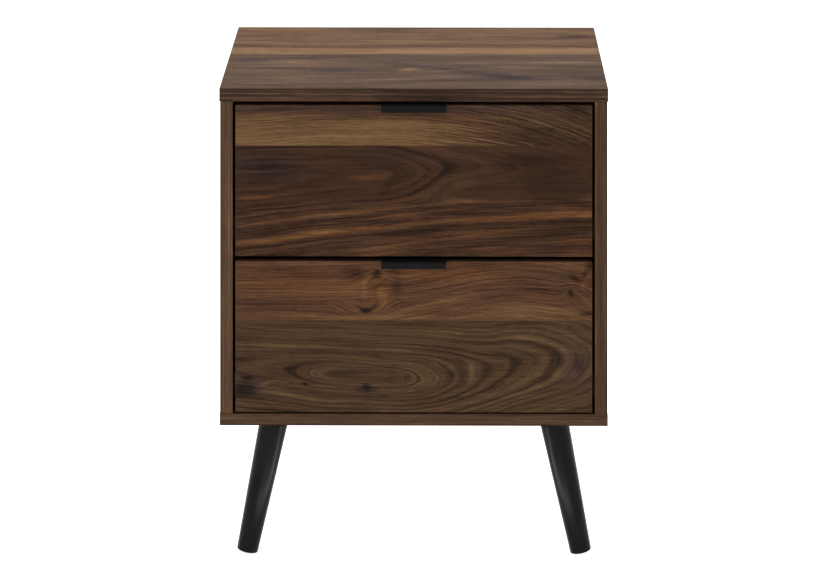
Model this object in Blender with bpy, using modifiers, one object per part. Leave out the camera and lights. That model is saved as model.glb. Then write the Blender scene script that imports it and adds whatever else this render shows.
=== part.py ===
"""Nightstand with two drawers on splayed legs, as the separate pieces it is put together from.

Metres, +Z up, +Y towards the back, so the drawers open along -Y and +X is on the right as seen
from the front. The origin is on the floor, under the middle of the whole nightstand.
"""
import math

import bmesh
import bpy
from mathutils import Matrix, Vector

# ------------------------------------------------------------------ sizes of the nightstand
TOP_WIDTH = 0.450
DEPTH = 0.400
HEIGHT = 0.551
CARCASS_WIDTH = 0.448
CARCASS_HEIGHT = 0.390
BOARD = 0.015
SIDE_BOARD = 0.0145
BOTTOM_WIDTH = 0.449
BOTTOM_BOARD = 0.0135
HARDBOARD = 0.003
BACK_OVERLAP = 0.008
EDGE_ROUNDING = 0.0003
GAP = 0.0003

# Distance of the dowels and screws that join the carcass from its front and back edges.
DOWEL_INSET = 0.040
CARCASS_SCREW_INSET = 0.060

# ------------------------------------------------------------------------------- drawers
FRONT_WIDTH = 0.4130
FRONT_HEIGHT = 0.1747
FRONT_BOTTOMS = {"lower": 0.1766, "upper": 0.3569}
BOX_BOARD = 0.012
BOX_LENGTH = 0.350
BOX_HEIGHT = 0.120
BOX_RISE = 0.014
GROOVE_DEPTH = 0.004
GROOVE_RISE = 0.012

PULL_WIDTH = 0.075
PULL_REACH = 0.012
PULL_LIP = 0.008
PULL_TAIL = 0.015
PULL_SHEET = 0.0015
PULL_SCREW_SPREAD = 0.048
PULL_SCREW_DROP = 0.009

# ---------------------------------------------------------------------------------- legs
LEG_SPLAY = math.radians(11.62)
LEG_X = {"front": 0.1623, "rear": 0.1555}
LEG_INSET = 0.047
LEG_TOP_RADIUS = 0.0167
LEG_FOOT_RADIUS = 0.0123
LEG_START = 0.0082
LEG_CHAMFER = 0.0006
PLATE_SIZE = 0.060
PLATE_SHEET = 0.0025
PLATE_CORNER = 0.006
PLATE_HOLE_RADIUS = 0.0023
PLATE_HOLE_INSET = 0.008
SOCKET_RADIUS = 0.011
BOLT_RADIUS = 0.004
BOLT_CHAMFER = 0.001
BOLT_IN_LEG = 0.028
BOLT_IN_SOCKET = 0.005

# ------------------------------------------------------- runners, one pair to each drawer side
RUNNER_SPACE = 0.0127
RUNNER_SHEET = 0.0012
RUNNER_BEND = 0.0010
ROLLER_RADIUS = 0.009
ROLLER_WIDTH = 0.007
ROLLER_EDGE = 0.0006
ROLLER_PLAY = 0.0005
AXLE_RADIUS = 0.002
AXLE_HEAD_RADIUS = 0.0035
AXLE_HEAD = 0.0008
CHANNEL_RISE = 0.001
CHANNEL_HEIGHT = 0.026
CHANNEL_FRONT = 0.018
CHANNEL_LENGTH = 0.350
CHANNEL_NOTCH = 0.0235
CHANNEL_CLEARANCE = 0.001
RAIL_RISE = 0.030
RAIL_FOOT = 0.010
RAIL_TRACK = 0.0105
CABINET_ROLLER_Y = 0.030
DRAWER_ROLLER_Y = 0.350

# ------------------------------------------------------------------------- derived places
FRONT_Y = -(DEPTH - PULL_REACH) / 2
BACK_Y = FRONT_Y + DEPTH
TOP_UNDERSIDE = HEIGHT - BOARD
UNDERSIDE = HEIGHT - CARCASS_HEIGHT
CARCASS_FLOOR = UNDERSIDE + BOTTOM_BOARD
INNER_X = CARCASS_WIDTH / 2 - SIDE_BOARD
BOX_X = INNER_X - RUNNER_SPACE
JOINT_X = CARCASS_WIDTH / 2 - SIDE_BOARD / 2
SIDES = {"left": -1, "right": 1}

# Outlines of turned fixings, as (radius, height) from the top down.
DOWEL = [(0, 0.010), (0.0032, 0.010), (0.004, 0.009), (0.004, -0.013), (0.0032, -0.014), (0, -0.014)]
CARCASS_SCREW = [
    (0, 0.040), (0.0010, 0.040), (0.0024, 0.037), (0.0024, 0.0135), (0.0033, 0.0128),
    (0.0033, 0.0040), (0.0046, 0.0016), (0.0046, GAP), (0, GAP),
]
PULL_SHANK = [(0, GAP), (0.0015, GAP), (0.0015, -0.0095), (0.0005, -0.0115), (0, -0.0115)]
PULL_SCREW = [(0, 0.0022), (0.0018, 0.0020), (0.0030, 0.0012), (0.0032, GAP)] + PULL_SHANK[1:]


def material(name, color, roughness, metallic=0.0):
    made = bpy.data.materials.new(name)
    made.use_nodes = True
    shader = made.node_tree.nodes["Principled BSDF"]
    shader.inputs["Base Color"].default_value = (*color, 1.0)
    shader.inputs["Roughness"].default_value = roughness
    shader.inputs["Metallic"].default_value = metallic
    made.diffuse_color = (*color, 1.0)
    return made


def collection(name):
    made = bpy.data.collections.new(name)
    bpy.context.scene.collection.children.link(made)
    return made


# ------------------------------------------------------------------------ pieces and cutters
def place(name, mesh, look, location=(0, 0, 0), rotation=(0, 0, 0), parent=None):
    """Put a piece in the parts collection; location and rotation are under its parent."""
    piece = bpy.data.objects.new(name, mesh)
    piece.location = location
    piece.rotation_euler = rotation
    piece.parent = parent
    if not mesh.materials:
        mesh.materials.append(look)
    PARTS.objects.link(piece)
    return piece


def guide(name, mesh, location=(0, 0, 0), rotation=(0, 0, 0), parent=None):
    """Put a cutter in the cutters collection, out of sight."""
    tool = bpy.data.objects.new(name, mesh)
    tool.location = location
    tool.rotation_euler = rotation
    tool.parent = parent
    tool.hide_render = True
    tool.display_type = "WIRE"
    CUTTERS.objects.link(tool)
    return tool


def combine(piece, tool, operation="DIFFERENCE"):
    boolean = piece.modifiers.new(tool.name, "BOOLEAN")
    boolean.operation = operation
    boolean.solver = "EXACT"
    boolean.object = tool


def span(low, high):
    """The size and the middle of the box between two corners."""
    low = Vector(low)
    high = Vector(high)
    return high - low, (low + high) / 2


def board(name, low, high, look, parent=None):
    """A board between two corners, with its edges very slightly rounded."""
    size, middle = span(low, high)
    piece = place(name, box_mesh(name, size), look, middle, parent=parent)
    bevel = piece.modifiers.new("edge_rounding", "BEVEL")
    bevel.width = EDGE_ROUNDING
    bevel.segments = 1
    return piece


def cut_box(pieces, name, low, high, parent=None):
    size, middle = span(low, high)
    tool = guide(name, box_mesh(name, size), middle, parent=parent)
    for piece in pieces:
        combine(piece, tool)


# ----------------------------------------------------------------------------------- meshes
def finished(name, shape):
    """Turn a bmesh into a mesh."""
    mesh = bpy.data.meshes.new(name)
    shape.to_mesh(mesh)
    shape.free()
    return mesh


def box_mesh(name, size):
    """A box of the given size around its own middle."""
    shape = bmesh.new()
    bmesh.ops.create_cube(shape, size=1.0)
    bmesh.ops.scale(shape, vec=size, verts=shape.verts)
    return finished(name, shape)


def cylinder_mesh(name, radius, bottom, top, segments=16):
    """A cylinder about Z between two heights."""
    shape = bmesh.new()
    middle = Matrix.Translation((0, 0, (bottom + top) / 2))
    bmesh.ops.create_cone(
        shape, cap_ends=True, segments=segments, radius1=radius, radius2=radius,
        depth=top - bottom, matrix=middle,
    )
    return finished(name, shape)


def settled_mesh(name, source):
    """The mesh that an object shows with its modifiers; the object is then removed."""
    merge = 0.00001
    bpy.context.view_layer.update()
    evaluated = source.evaluated_get(bpy.context.evaluated_depsgraph_get())
    mesh = bpy.data.meshes.new_from_object(evaluated)
    mesh.name = name
    shape = bmesh.new()
    shape.from_mesh(mesh)
    bmesh.ops.remove_doubles(shape, verts=shape.verts, dist=merge)
    shape.to_mesh(mesh)
    shape.free()
    bpy.data.objects.remove(source, do_unlink=True)
    return mesh


def carved_mesh(name, mesh, steps):
    """A mesh after Boolean steps, each one an operation with its tool's mesh, place and turn."""
    blank = place(name, mesh, STEEL)
    tools = []
    for operation, tool_mesh, location, rotation in steps:
        tool = guide(tool_mesh.name, tool_mesh, location, rotation)
        combine(blank, tool, operation)
        tools.append(tool)
    result = settled_mesh(name, blank)
    for tool in tools:
        bpy.data.objects.remove(tool, do_unlink=True)
    return result


def turned_mesh(name, profile, steps=12, closed=False):
    """A profile of (radius, height) points turned about Z; a closed one leaves a bore."""
    shape = bmesh.new()
    points = [shape.verts.new((radius, 0, height)) for radius, height in profile]
    for start, end in zip(points, points[1:]):
        shape.edges.new((start, end))
    if closed:
        shape.edges.new((points[-1], points[0]))
    source = bpy.data.objects.new(name, finished(name, shape))
    bpy.context.scene.collection.objects.link(source)
    screw = source.modifiers.new("turn", "SCREW")
    screw.angle = 2 * math.pi
    screw.steps = steps
    screw.render_steps = steps
    screw.use_merge_vertices = True
    screw.merge_threshold = 0.00001
    mesh = settled_mesh(name, source)
    mesh.shade_smooth()
    mesh.set_sharp_from_angle(angle=math.radians(35))
    return mesh


def widened(profile):
    """The clearance hole around a turned piece: the same outline, a little larger all round."""
    top = profile[0][1]
    bottom = profile[-1][1]
    result = []
    for radius, height in profile:
        if height == top:
            height += GAP
        if height == bottom:
            height -= GAP
        result.append((radius + GAP if radius else 0, height))
    return result


def rounded_path(points, radius, steps):
    """A bent path whose inner corners are arcs of the given radius."""
    result = [Vector(points[0])]
    for before, corner, after in zip(points, points[1:], points[2:]):
        corner = Vector(corner)
        inward = (Vector(before) - corner).normalized()
        outward = (Vector(after) - corner).normalized()
        half_angle = inward.angle(outward) / 2
        centre = corner + (inward + outward).normalized() * radius / math.sin(half_angle)
        start = corner + inward * radius / math.tan(half_angle) - centre
        end = corner + outward * radius / math.tan(half_angle) - centre
        for step in range(steps + 1):
            arm = start.slerp(end, step / steps).normalized()
            result.append(centre + arm * radius)
    result.append(Vector(points[-1]))
    return result


def sheet_outline(path, thickness):
    """The closed outline of a sheet seen edge on, half its thickness to each side of a path."""
    left = []
    right = []
    for index, point in enumerate(path):
        arms = []
        if index > 0:
            arms.append((point - path[index - 1]).normalized())
        if index < len(path) - 1:
            arms.append((path[index + 1] - point).normalized())
        direction = sum(arms, Vector((0, 0))).normalized()
        stretch = 1 / direction.dot(arms[0])
        side = Vector((-direction.y, direction.x)) * thickness / 2 * stretch
        left.append(point + side)
        right.append(point - side)
    return left + right[::-1]


def folded_mesh(name, points, thickness, length, bend, steps):
    """Sheet metal folded along a path in XY, extruded by its length about z = 0."""
    curve = bpy.data.curves.new(name, "CURVE")
    curve.dimensions = "2D"
    curve.fill_mode = "BOTH"
    curve.extrude = length / 2
    spline = curve.splines.new("POLY")
    spline.use_cyclic_u = True
    outline = sheet_outline(rounded_path(points, bend, steps), thickness)
    spline.points.add(len(outline) - 1)
    for target, point in zip(spline.points, outline):
        target.co = (point.x, point.y, 0, 1)
    source = bpy.data.objects.new(name, curve)
    bpy.context.scene.collection.objects.link(source)
    mesh = settled_mesh(name, source)
    bpy.data.curves.remove(curve)
    return mesh


def mirrored(mesh, name, sign):
    """A copy of a right-hand mesh for the right (+1) or, mirrored in X, for the left (-1)."""
    copy = mesh.copy()
    copy.name = name
    if sign < 0:
        copy.transform(Matrix.Scale(-1, 4, (1, 0, 0)))
        copy.flip_normals()
    return copy


# --------------------------------------------------------------------------------- carcass
def build_carcass():
    """Top, sides, bottom and back, held by dowels at the top and screws at the bottom."""
    half_top = TOP_WIDTH / 2
    half_bottom = BOTTOM_WIDTH / 2
    top = board("top_panel", (-half_top, FRONT_Y, TOP_UNDERSIDE), (half_top, BACK_Y, HEIGHT), WALNUT)
    bottom = board(
        "bottom_panel", (-half_bottom, FRONT_Y, UNDERSIDE), (half_bottom, BACK_Y, CARCASS_FLOOR), WALNUT
    )
    sides = {}
    for side, sign in SIDES.items():
        faces = sorted((sign * INNER_X, sign * CARCASS_WIDTH / 2))
        sides[side] = board(
            f"{side}_side_panel",
            (faces[0], FRONT_Y, CARCASS_FLOOR + GAP), (faces[1], BACK_Y, TOP_UNDERSIDE - GAP), WALNUT,
        )
    back_x = INNER_X + BACK_OVERLAP
    back_low = CARCASS_FLOOR - BACK_OVERLAP
    back_high = TOP_UNDERSIDE + BACK_OVERLAP
    board(
        "back_panel",
        (-back_x + GAP, BACK_Y - HARDBOARD, back_low + GAP), (back_x - GAP, BACK_Y, back_high - GAP),
        RAW_HARDBOARD,
    )
    cut_box(
        [top, bottom, *sides.values()], "back_rebate",
        (-back_x, BACK_Y - HARDBOARD - GAP, back_low), (back_x, BACK_Y + BOARD, back_high),
    )
    join_carcass(top, bottom, sides)


def join_carcass(top, bottom, sides):
    """Dowels between top and sides, and screws up through the bottom into the sides."""
    dowel = turned_mesh("dowel", DOWEL)
    dowel_hole = turned_mesh("dowel_hole", widened(DOWEL))
    screw = turned_mesh("carcass_screw", CARCASS_SCREW)
    screw_hole = turned_mesh("carcass_screw_hole", widened(CARCASS_SCREW))
    for end, edge, inward in (("front", FRONT_Y, 1), ("rear", BACK_Y, -1)):
        for side, sign in SIDES.items():
            spot = (sign * JOINT_X, edge + inward * DOWEL_INSET, TOP_UNDERSIDE)
            place(f"{side}_{end}_dowel", dowel, BEECH, spot)
            hole = guide(f"{side}_{end}_dowel_hole", dowel_hole, spot)
            combine(top, hole)
            combine(sides[side], hole)
            spot = (sign * JOINT_X, edge + inward * CARCASS_SCREW_INSET, UNDERSIDE)
            place(f"{side}_{end}_carcass_screw", screw, ZINC, spot)
            hole = guide(f"{side}_{end}_carcass_screw_hole", screw_hole, spot)
            combine(bottom, hole)
            combine(sides[side], hole)


# ------------------------------------------------------------------------------------ legs
def leg_mesh():
    """A tapered leg down its own axis, with the bore for its bolt; the foot is cut square."""
    flat_radius = LEG_FOOT_RADIUS - LEG_CHAMFER
    length = (UNDERSIDE - flat_radius * math.sin(LEG_SPLAY)) / math.cos(LEG_SPLAY)
    bore = BOLT_RADIUS + GAP
    bore_end = LEG_START + BOLT_IN_LEG + GAP
    return turned_mesh("leg", [
        (0, -bore_end),
        (bore, -bore_end),
        (bore, -LEG_START),
        (LEG_TOP_RADIUS - LEG_CHAMFER, -LEG_START),
        (LEG_TOP_RADIUS, -LEG_START - LEG_CHAMFER),
        (LEG_FOOT_RADIUS, -length + LEG_CHAMFER),
        (flat_radius, -length),
        (0, -length),
    ], 48)


def hanger_bolt_mesh():
    top = BOLT_IN_SOCKET - LEG_START
    end = -LEG_START - BOLT_IN_LEG
    tip_radius = BOLT_RADIUS - BOLT_CHAMFER
    return turned_mesh("hanger_bolt", [
        (0, top), (tip_radius, top), (BOLT_RADIUS, top - BOLT_CHAMFER),
        (BOLT_RADIUS, end + BOLT_CHAMFER), (tip_radius, end), (0, end),
    ])


def leg_plate_mesh():
    """Screw-on plate with a slanted threaded socket, its top face at z = 0."""
    shape = bmesh.new()
    bmesh.ops.create_cube(shape, size=1.0)
    bmesh.ops.scale(shape, vec=(PLATE_SIZE, PLATE_SIZE, PLATE_SHEET), verts=shape.verts)
    bmesh.ops.translate(shape, vec=(0, 0, -PLATE_SHEET / 2), verts=shape.verts)
    upright = [edge for edge in shape.edges if abs(edge.verts[0].co.z - edge.verts[1].co.z) > PLATE_SHEET / 2]
    bmesh.ops.bevel(shape, geom=upright, offset=PLATE_CORNER, segments=3, profile=0.5, affect="EDGES")
    plate = finished("plate", shape)

    here = (0, 0, 0)
    lean = (0, -LEG_SPLAY, 0)
    socket = cylinder_mesh("socket", SOCKET_RADIUS, GAP - LEG_START, 0, 20)
    above = box_mesh("above", (PLATE_SIZE, PLATE_SIZE, PLATE_SIZE))
    bore = cylinder_mesh("bore", BOLT_RADIUS + GAP, -PLATE_SIZE, PLATE_SIZE)
    screw_hole = cylinder_mesh("screw_hole", PLATE_HOLE_RADIUS, -2 * PLATE_SHEET, PLATE_SHEET, 8)
    reach = PLATE_SIZE / 2 - PLATE_HOLE_INSET
    holes = [
        ("DIFFERENCE", screw_hole, (x, y, 0), here) for x in (-reach, reach) for y in (-reach, reach)
    ]
    return carved_mesh("leg_plate", plate, [
        ("UNION", socket, here, lean),
        ("DIFFERENCE", above, (0, 0, PLATE_SIZE / 2), here),
        ("DIFFERENCE", bore, here, lean),
        *holes,
    ])


def build_legs():
    """Four tapered legs leaning outwards, each on a hanger bolt in a slanted plate."""
    leg = leg_mesh()
    bolt = hanger_bolt_mesh()
    plate = leg_plate_mesh()
    for end, y in (("front", FRONT_Y + LEG_INSET), ("rear", BACK_Y - LEG_INSET)):
        for side, sign in SIDES.items():
            spot = Vector((sign * LEG_X[end], y, UNDERSIDE))
            lean = (0, -sign * LEG_SPLAY, 0)
            facing = (0, 0, 0 if sign > 0 else math.pi)
            place(f"{side}_{end}_leg", leg, BLACK_WOOD, spot, lean)
            place(f"{side}_{end}_hanger_bolt", bolt, ZINC, spot, lean)
            place(f"{side}_{end}_leg_plate", plate, STEEL, spot - Vector((0, 0, GAP)), facing)


# --------------------------------------------------------------------------------- runners
# Runners and rollers are laid out for a right-hand side: x from the drawer side's outer face,
# y from the drawer front's face, z from the drawer side's lower edge.
CHANNEL_WALL_X = RUNNER_SPACE - GAP - RUNNER_SHEET / 2
CHANNEL_LIP_X = GAP + RUNNER_SHEET + CHANNEL_CLEARANCE
RAIL_WALL_X = GAP + RUNNER_SHEET / 2
ROLLER_OFFSET = RUNNER_SHEET / 2 + ROLLER_PLAY + ROLLER_WIDTH / 2
ROLLER_SPOTS = {
    "cabinet": Vector((CHANNEL_WALL_X - ROLLER_OFFSET, CABINET_ROLLER_Y, RAIL_RISE - GAP - ROLLER_RADIUS)),
    "drawer": Vector((
        RAIL_WALL_X + ROLLER_OFFSET, DRAWER_ROLLER_Y, CHANNEL_RISE + RUNNER_SHEET + GAP + ROLLER_RADIUS,
    )),
}


def roller_mesh():
    """A nylon roller turned about Z, with a running bore."""
    bore = AXLE_RADIUS + GAP
    half = ROLLER_WIDTH / 2
    return turned_mesh("roller", [
        (ROLLER_RADIUS - ROLLER_EDGE, half), (ROLLER_RADIUS, half - ROLLER_EDGE),
        (ROLLER_RADIUS, ROLLER_EDGE - half), (ROLLER_RADIUS - ROLLER_EDGE, -half),
        (bore, -half), (bore, half),
    ], 20, closed=True)


def axle_mesh():
    """An axle from the middle of a runner's wall, with a flat head that keeps the roller on."""
    length = ROLLER_OFFSET + ROLLER_WIDTH / 2 + ROLLER_PLAY + AXLE_HEAD
    neck = length - AXLE_HEAD
    return turned_mesh("axle", [
        (0, length), (AXLE_HEAD_RADIUS, length), (AXLE_HEAD_RADIUS, neck), (AXLE_RADIUS, neck),
        (AXLE_RADIUS, 0), (0, 0),
    ])


def runner_sheet(name, points, length, front):
    """A folded runner along Y, from its cross-section in XZ, starting at y = front."""
    sheet = folded_mesh(name, points, RUNNER_SHEET, length, RUNNER_BEND, 2)
    sheet.transform(Matrix.Translation((0, front + length / 2, 0)) @ Matrix.Rotation(math.pi / 2, 4, "X"))
    return sheet


def cabinet_runner_mesh():
    """C-shaped channel for the cabinet's side, notched above the roller at its front."""
    low = CHANNEL_RISE + RUNNER_SHEET / 2
    high = CHANNEL_RISE + CHANNEL_HEIGHT - RUNNER_SHEET / 2
    channel = runner_sheet("channel", [
        (CHANNEL_LIP_X, low), (CHANNEL_WALL_X, low), (CHANNEL_WALL_X, high), (CHANNEL_LIP_X, high),
    ], CHANNEL_LENGTH, CHANNEL_FRONT)
    notch_size, notch_middle = span(
        (0, CHANNEL_FRONT - GAP, high - RUNNER_SHEET),
        (CHANNEL_WALL_X - RUNNER_SHEET / 2 - GAP, CHANNEL_FRONT + CHANNEL_NOTCH, high + RUNNER_SHEET),
    )
    roller = ROLLER_SPOTS["cabinet"]
    return carved_mesh("cabinet_runner", channel, [
        ("DIFFERENCE", box_mesh("notch", notch_size), notch_middle, (0, 0, 0)),
        ("UNION", axle_mesh(), (CHANNEL_WALL_X, roller.y, roller.z), (0, -math.pi / 2, 0)),
    ])


def drawer_runner_mesh():
    """Rail for the drawer's side: a foot under the board and a track out over the channel."""
    foot = -GAP - RUNNER_SHEET / 2
    track = RAIL_RISE + RUNNER_SHEET / 2
    rail = runner_sheet("rail", [
        (-RAIL_FOOT, foot), (RAIL_WALL_X, foot), (RAIL_WALL_X, track), (RAIL_TRACK, track),
    ], BOX_LENGTH, BOARD + 2 * GAP)
    roller = ROLLER_SPOTS["drawer"]
    return carved_mesh("drawer_runner", rail, [
        ("UNION", axle_mesh(), (RAIL_WALL_X, roller.y, roller.z), (0, math.pi / 2, 0)),
    ])


# --------------------------------------------------------------------------------- drawers
def pull_mesh():
    """Folded pull: lip in front, flat over the drawer front's top edge, tail down its back.
    x runs along the pull, y from the drawer front's face, z from its top edge."""
    half = PULL_SHEET / 2
    lip_y = half - PULL_REACH
    flat_z = GAP + half
    tail_y = BOARD + GAP + half
    sheet = folded_mesh("pull", [
        (lip_y, flat_z + half - PULL_LIP), (lip_y, flat_z), (tail_y, flat_z),
        (tail_y, flat_z + half - PULL_TAIL),
    ], PULL_SHEET, PULL_WIDTH, PULL_SHEET, 4)
    sheet.transform(Matrix(((0, 0, 1, 0), (1, 0, 0, 0), (0, 1, 0, 0), (0, 0, 0, 1))))
    return sheet


def build_box(level, slide):
    """Drawer front, sides and back, with the bottom held in grooves."""
    box_front = BOARD + GAP
    box_back = box_front + BOX_LENGTH
    box_top = BOX_RISE + BOX_HEIGHT
    inner_x = BOX_X - BOX_BOARD
    groove_x = inner_x + GROOVE_DEPTH
    groove_front = BOARD - GROOVE_DEPTH
    groove_low = BOX_RISE + GROOVE_RISE
    groove_high = groove_low + HARDBOARD + 2 * GAP
    front = board(
        f"{level}_drawer_front", (-FRONT_WIDTH / 2, 0, 0), (FRONT_WIDTH / 2, BOARD, FRONT_HEIGHT),
        WALNUT, slide,
    )
    sides = []
    for side, sign in SIDES.items():
        faces = sorted((sign * inner_x, sign * BOX_X))
        sides.append(board(
            f"{level}_drawer_{side}_side",
            (faces[0], box_front, BOX_RISE), (faces[1], box_back, box_top), WALNUT, slide,
        ))
    board(
        f"{level}_drawer_back",
        (GAP - inner_x, box_back - BOX_BOARD, groove_high), (inner_x - GAP, box_back, box_top),
        WALNUT, slide,
    )
    board(
        f"{level}_drawer_bottom",
        (GAP - groove_x, groove_front + GAP, groove_low + GAP),
        (groove_x - GAP, box_back, groove_high - GAP), PRINTED_HARDBOARD, slide,
    )
    cut_box(
        [front, *sides], f"{level}_drawer_groove",
        (-groove_x, groove_front, groove_low), (groove_x, box_back + BOARD, groove_high), slide,
    )
    return front


def fit_pull(level, slide, front, meshes):
    """The folded pull and the two screws that hold it from behind."""
    pull = place(f"{level}_pull", meshes["pull"], BLACK_METAL, (0, 0, FRONT_HEIGHT), parent=slide)
    back_of_tail = BOARD + GAP + PULL_SHEET
    facing_back = (-math.pi / 2, 0, 0)
    for side, sign in SIDES.items():
        spot = (sign * PULL_SCREW_SPREAD / 2, back_of_tail, FRONT_HEIGHT - PULL_SCREW_DROP)
        place(f"{level}_pull_{side}_screw", meshes["screw"], ZINC, spot, facing_back, slide)
        hole = guide(f"{level}_pull_{side}_screw_hole", meshes["screw_hole"], spot, facing_back, slide)
        combine(front, hole)
        combine(pull, hole)


def fit_runners(level, slide, meshes):
    """Channels on the cabinet and rails on the drawer, each with its own roller."""
    for side, sign in SIDES.items():
        corner = Vector((sign * BOX_X, 0, BOX_RISE))
        for member, parent, origin in (("cabinet", None, slide.location), ("drawer", slide, Vector())):
            label = f"{level}_{side}_{member}"
            runner = mirrored(meshes[member], f"{label}_runner", sign)
            place(f"{label}_runner", runner, STEEL, origin + corner, parent=parent)
            axis = ROLLER_SPOTS[member] * Vector((sign, 1, 1))
            place(
                f"{label}_roller", meshes["roller"], NYLON, origin + corner + axis,
                (0, math.pi / 2, 0), parent,
            )


def build_drawers():
    """Two alike drawers, each under an empty at the foot of its front's face."""
    meshes = {
        "cabinet": cabinet_runner_mesh(),
        "drawer": drawer_runner_mesh(),
        "roller": roller_mesh(),
        "pull": pull_mesh(),
        "screw": turned_mesh("pull_screw", PULL_SCREW),
        "screw_hole": turned_mesh("pull_screw_hole", widened(PULL_SHANK)),
    }
    for level, bottom in FRONT_BOTTOMS.items():
        slide = bpy.data.objects.new(f"{level}_drawer_slide", None)
        slide.location = (0, FRONT_Y, bottom)
        PARTS.objects.link(slide)
        front = build_box(level, slide)
        fit_pull(level, slide, front, meshes)
        fit_runners(level, slide, meshes)


for leftover in list(bpy.data.objects):
    bpy.data.objects.remove(leftover, do_unlink=True)

PARTS = collection("nightstand")
CUTTERS = collection("cutters")
WALNUT = material("walnut_laminate", (0.105, 0.053, 0.030), 0.45)
PRINTED_HARDBOARD = material("printed_hardboard", (0.14, 0.080, 0.048), 0.55)
RAW_HARDBOARD = material("raw_hardboard", (0.20, 0.115, 0.065), 0.75)
BLACK_WOOD = material("black_lacquered_wood", (0.012, 0.012, 0.012), 0.35)
BLACK_METAL = material("black_powder_coat", (0.012, 0.012, 0.013), 0.55)
STEEL = material("coated_steel", (0.040, 0.032, 0.027), 0.40)
ZINC = material("zinc_plated_steel", (0.55, 0.56, 0.57), 0.30, 1.0)
BEECH = material("beech", (0.55, 0.36, 0.20), 0.60)
NYLON = material("white_nylon", (0.80, 0.80, 0.78), 0.45)

build_carcass()
build_legs()
build_drawers()
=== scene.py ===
"""Looks of a nightstand with two drawers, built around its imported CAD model.

The boards are particle board in a walnut-look laminate: two planks to a face, joined edge to edge.
Legs, pulls and runners are painted, plated or moulded. Every pattern is worked out from object
coordinates in millimetres, so it stays on its part when a drawer moves.
"""

import math

import bmesh
import bpy
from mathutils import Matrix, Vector


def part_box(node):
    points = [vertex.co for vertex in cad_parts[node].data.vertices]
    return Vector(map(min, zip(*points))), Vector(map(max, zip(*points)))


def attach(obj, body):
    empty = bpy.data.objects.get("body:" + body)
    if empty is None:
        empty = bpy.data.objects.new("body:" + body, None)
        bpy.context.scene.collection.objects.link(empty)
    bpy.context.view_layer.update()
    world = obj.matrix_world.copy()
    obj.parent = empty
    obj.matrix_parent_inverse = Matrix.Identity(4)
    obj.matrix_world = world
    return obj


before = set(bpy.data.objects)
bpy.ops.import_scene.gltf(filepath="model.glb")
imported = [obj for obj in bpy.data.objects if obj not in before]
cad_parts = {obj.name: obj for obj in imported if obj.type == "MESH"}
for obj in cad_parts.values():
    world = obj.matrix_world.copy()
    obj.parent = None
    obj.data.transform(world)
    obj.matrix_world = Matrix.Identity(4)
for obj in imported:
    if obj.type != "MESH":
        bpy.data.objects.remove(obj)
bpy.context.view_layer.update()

MM = 0.001
X, Y, Z = range(3)

# ---------------------------------------------------------------- camera, light and floor

CAMERA_DISTANCE = 4.236         # from the front face, level
CAMERA_HEIGHT = 1.3747
CAMERA_ASIDE = 0.033            # to the right of the middle
CAMERA_TILT = math.radians(14.0055)
CAMERA_TURN = math.radians(0.4414)
CAMERA_LENS = 164.09            # millimetres, as is the sensor
SENSOR_WIDTH = 36
CAMERA_CLIP = (0.05, 200)
RIG_ANGLE = math.radians(45)    # the camera's own turn inside its stretched frame

# each softbox: where it is, what it shines at, its size in metres and its power in watts
SOFTBOXES = {
    "overhead_light": ((0, 1.2, 4.2), (0, 1.2, 0), (7, 7), 150),
    "left_light": ((-2.4, -3.2, 1.9), (0, 0, 0.3), (1.8, 2.2), 67),
    "right_light": ((2.8, -3.0, 1.7), (0, 0, 0.3), (1.8, 2.2), 49),
}
GLOSS_PLACE = (0.097, -0.244, 0.004)    # strips on the floor, which light nothing but gloss
GLOSS_TURN = math.radians(-40)
GLOSS_SIZE = (0.26, 0.024)
GLOSS_WATTS = 0.42
WORLD_STRENGTH = 0.35

FLOOR_RADIUS = 30.0
FLOOR_SIDES = 96
FLOOR_SHADES = (0.86, 0.90)
FLOOR_CLOUD = 100               # size in millimetres of the patches in those shades
BACKDROP_HEIGHT = 3.0           # a pale wall along the rim of the floor
FLOOR_GLOW = 0.80               # the floor is a light table, so the shadow under the cabinet is faint


def linear(red, green, blue, gain=1.0):
    """A colour given as it looks on a screen, 0 to 255, as light amounts with an alpha of 1."""
    def channel(value):
        value /= 255
        return value / 12.92 if value <= 0.04045 else ((value + 0.055) / 1.055) ** 2.4

    return tuple(min(gain * channel(value), 1.0) for value in (red, green, blue)) + (1.0,)


def link(obj):
    bpy.context.scene.collection.objects.link(obj)
    return obj


def make_camera():
    """A view camera: its film stands upright, parallel to the drawer fronts, while its axis tilts down.

    A camera turned by 45 degrees inside a stretched frame has that shear and no lens shift.
    """
    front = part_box("upper_drawer_front")[0].y
    rig = link(bpy.data.objects.new("camera_rig", None))
    rig.location = (CAMERA_ASIDE, front - CAMERA_DISTANCE, CAMERA_HEIGHT)
    rig.rotation_euler = (RIG_ANGLE - CAMERA_TILT / 2, 0, CAMERA_TURN)
    rig.scale = (1, math.sqrt(1 - math.sin(CAMERA_TILT)), math.sqrt(1 + math.sin(CAMERA_TILT)))
    data = bpy.data.cameras.new("camera")
    data.lens = CAMERA_LENS
    data.sensor_width = SENSOR_WIDTH
    data.clip_start, data.clip_end = CAMERA_CLIP
    camera = link(bpy.data.objects.new("camera", data))
    camera.parent = rig
    camera.rotation_euler = (RIG_ANGLE, 0, 0)
    bpy.context.scene.camera = camera


def softbox(name, place, target, size, watts):
    data = bpy.data.lights.new(name, "AREA")
    data.shape = "RECTANGLE"
    data.size, data.size_y = size
    data.energy = watts
    lamp = link(bpy.data.objects.new(name, data))
    lamp.location = place
    lamp.rotation_euler = (Vector(target) - Vector(place)).to_track_quat("-Z", "Y").to_euler()
    return lamp


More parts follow.
